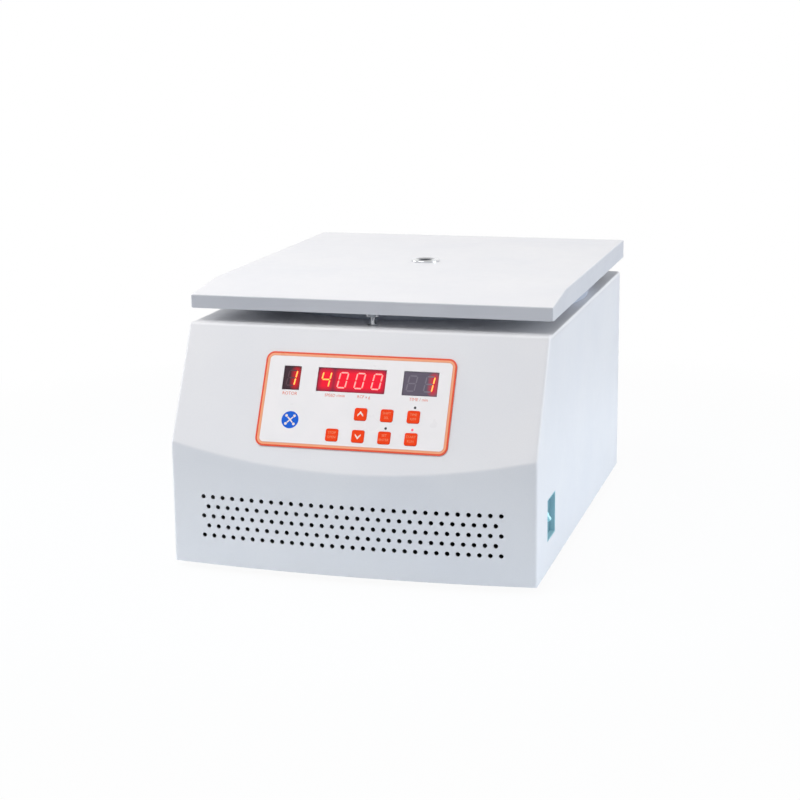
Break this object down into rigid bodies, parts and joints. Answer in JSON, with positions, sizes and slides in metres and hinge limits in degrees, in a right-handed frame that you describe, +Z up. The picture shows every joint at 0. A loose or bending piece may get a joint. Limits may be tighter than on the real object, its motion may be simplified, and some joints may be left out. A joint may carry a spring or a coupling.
{
  "type": "benchtop centrifuge",
  "caption": "Benchtop laboratory centrifuge: perforated bowed steel case, sloping key and LED panel, hinged lid, swing-out rotor with four tube buckets.",
  "frame": {"origin": "on the bench, under the middle of the overall footprint", "axes": "+Z up, +Y to the back (the control panel faces -Y), +X to the operator's right"},
  "size_m": [0.432, 0.5952, 0.3205],
  "materials": {
    "case_paint": "fine-textured powder coat, near white, on folded sheet steel",
    "lining_steel": "satin stainless sheet",
    "plain_steel": "zinc-plated, satin",
    "cast_aluminium": "turned and anodised, satin",
    "chrome_trim": "polished",
    "black_rubber": "matt",
    "grey_seal": "grey silicone, satin",
    "overlay_film": "printed control film, off-white with an orange-red border, satin gloss",
    "key_orange": "orange-red, rounded",
    "display_red": "smoked red display window",
    "circuit_green": "solder-mask green",
    "breaker_grey": "moulded blue-grey, matt",
    "lever_blue": "moulded light blue-green",
    "black_plastic": "moulded black",
    "white_nylon": "moulded natural nylon",
    "clear_window": "clear polycarbonate",
    "motor_paint": "dark grey enamel"
  },
  "bodies": {
    "cabinet": {"front_panel": "case_paint", "left_side_panel": "case_paint", "right_side_panel": "case_paint", "top_deck": "case_paint", "rear_panel": "case_paint", "base_plate": "plain_steel", "foot_front_left": "black_rubber", "foot_front_right": "black_rubber", "foot_rear_left": "black_rubber", "foot_rear_right": "black_rubber", "chamber_bowl": "lining_steel", "bowl_floor": "lining_steel", "chamber_seal": "grey_seal", "guard_ring": "plain_steel", "shaft_boot": "black_rubber", "motor_housing": "motor_paint", "motor_plate": "plain_steel", "damper_1": "black_rubber", "damper_2": "black_rubber", "damper_3": "black_rubber", "hinge_leaf_left": "plain_steel", "hinge_leaf_right": "plain_steel", "lock_bracket": "plain_steel", "lock_solenoid": "black_plastic", "breaker_body": "breaker_grey", "power_inlet": "black_plastic", "control_overlay": "overlay_film", "control_board": "circuit_green", "rotor_display": "display_red", "speed_display": "display_red", "time_display": "display_red"},
    "lid": {"lid_shell": "case_paint", "lid_liner": "lining_steel", "sight_bezel": "chrome_trim", "sight_window": "clear_window", "sight_retainer": "lining_steel", "lock_pin": "chrome_trim", "lid_hinge_left": "plain_steel", "lid_hinge_right": "plain_steel"},
    "rotor": {"drive_shaft": "plain_steel", "rotor_head": "cast_aluminium", "rotor_nut": "chrome_trim"},
    "bucket_body_1": {"bucket_1": "cast_aluminium", "bucket_insert_1": "white_nylon"},
    "bucket_body_2": {"bucket_2": "cast_aluminium", "bucket_insert_2": "white_nylon"},
    "bucket_body_3": {"bucket_3": "cast_aluminium", "bucket_insert_3": "white_nylon"},
    "bucket_body_4": {"bucket_4": "cast_aluminium", "bucket_insert_4": "white_nylon"},
    "breaker_toggle": {"breaker_lever": "lever_blue"},
    "lock_catch": {"lock_hook": "plain_steel"},
    "lock_plunger": {"solenoid_plunger": "plain_steel"},
    "key_stop_cap": {"key_stop": "key_orange"},
    "key_down_cap": {"key_down": "key_orange"},
    "key_program_cap": {"key_program": "key_orange"},
    "key_start_cap": {"key_start": "key_orange"},
    "key_up_cap": {"key_up": "key_orange"},
    "key_select_cap": {"key_select": "key_orange"},
    "key_timer_cap": {"key_timer": "key_orange"}
  },
  "joints": [
    {"name": "lid_hinge", "type": "hinge", "parent": "cabinet", "child": "lid", "pos_m": [0, 0.28161, 0.287], "axis": [-1, 0, 0], "range_deg": [0, 80]},
    {"name": "rotor_spin", "type": "hinge", "parent": "cabinet", "child": "rotor", "pos_m": [0, 0.05161, 0.2202], "axis": [0, 0, 1], "continuous": true},
    {"name": "bucket_swing_1", "type": "hinge", "parent": "rotor", "child": "bucket_body_1", "pos_m": [0.0887, 0.05161, 0.2202], "axis": [0, -1, 0], "range_deg": [-5, 90]},
    {"name": "bucket_swing_2", "type": "hinge", "parent": "rotor", "child": "bucket_body_2", "pos_m": [0, 0.14031, 0.2202], "axis": [1, 0, 0], "range_deg": [-5, 90]},
    {"name": "bucket_swing_3", "type": "hinge", "parent": "rotor", "child": "bucket_body_3", "pos_m": [-0.0887, 0.05161, 0.2202], "axis": [0, 1, 0], "range_deg": [-5, 90]},
    {"name": "bucket_swing_4", "type": "hinge", "parent": "rotor", "child": "bucket_body_4", "pos_m": [0, -0.03709, 0.2202], "axis": [-1, 0, 0], "range_deg": [-5, 90]},
    {"name": "breaker_throw", "type": "hinge", "parent": "cabinet", "child": "breaker_toggle", "pos_m": [0.206, -0.20361, 0.0675], "axis": [0, -1, 0], "range_deg": [0, 60]},
    {"name": "lock_turn", "type": "hinge", "parent": "cabinet", "child": "lock_catch", "pos_m": [0.016, -0.18439, 0.2675], "axis": [0, 0, -1], "range_deg": [0, 40]},
    {"name": "plunger_stroke", "type": "slide", "parent": "cabinet", "child": "lock_plunger", "axis": [0, -1, 0], "range_m": [0, 0.0083]},
    {"name": "key_stop_press", "type": "slide", "parent": "cabinet", "child": "key_stop_cap", "axis": [0, 0.8788, -0.4772], "range_m": [0, 0.0005], "stiffness_N_per_m": 1500},
    {"name": "key_down_press", "type": "slide", "parent": "cabinet", "child": "key_down_cap", "axis": [0, 0.8788, -0.4772], "range_m": [0, 0.0005], "stiffness_N_per_m": 1500},
    {"name": "key_program_press", "type": "slide", "parent": "cabinet", "child": "key_program_cap", "axis": [0, 0.8788, -0.4772], "range_m": [0, 0.0005], "stiffness_N_per_m": 1500},
    {"name": "key_start_press", "type": "slide", "parent": "cabinet", "child": "key_start_cap", "axis": [0, 0.8788, -0.4772], "range_m": [0, 0.0005], "stiffness_N_per_m": 1500},
    {"name": "key_up_press", "type": "slide", "parent": "cabinet", "child": "key_up_cap", "axis": [0, 0.8788, -0.4772], "range_m": [0, 0.0005], "stiffness_N_per_m": 1500},
    {"name": "key_select_press", "type": "slide", "parent": "cabinet", "child": "key_select_cap", "axis": [0, 0.8788, -0.4772], "range_m": [0, 0.0005], "stiffness_N_per_m": 1500},
    {"name": "key_timer_press", "type": "slide", "parent": "cabinet", "child": "key_timer_cap", "axis": [0, 0.8788, -0.4772], "range_m": [0, 0.0005], "stiffness_N_per_m": 1500}
  ],
  "couplings": [
    {"joint": "plunger_stroke", "follows": "lock_turn", "m_per_rad": 0.011758}
  ]
}
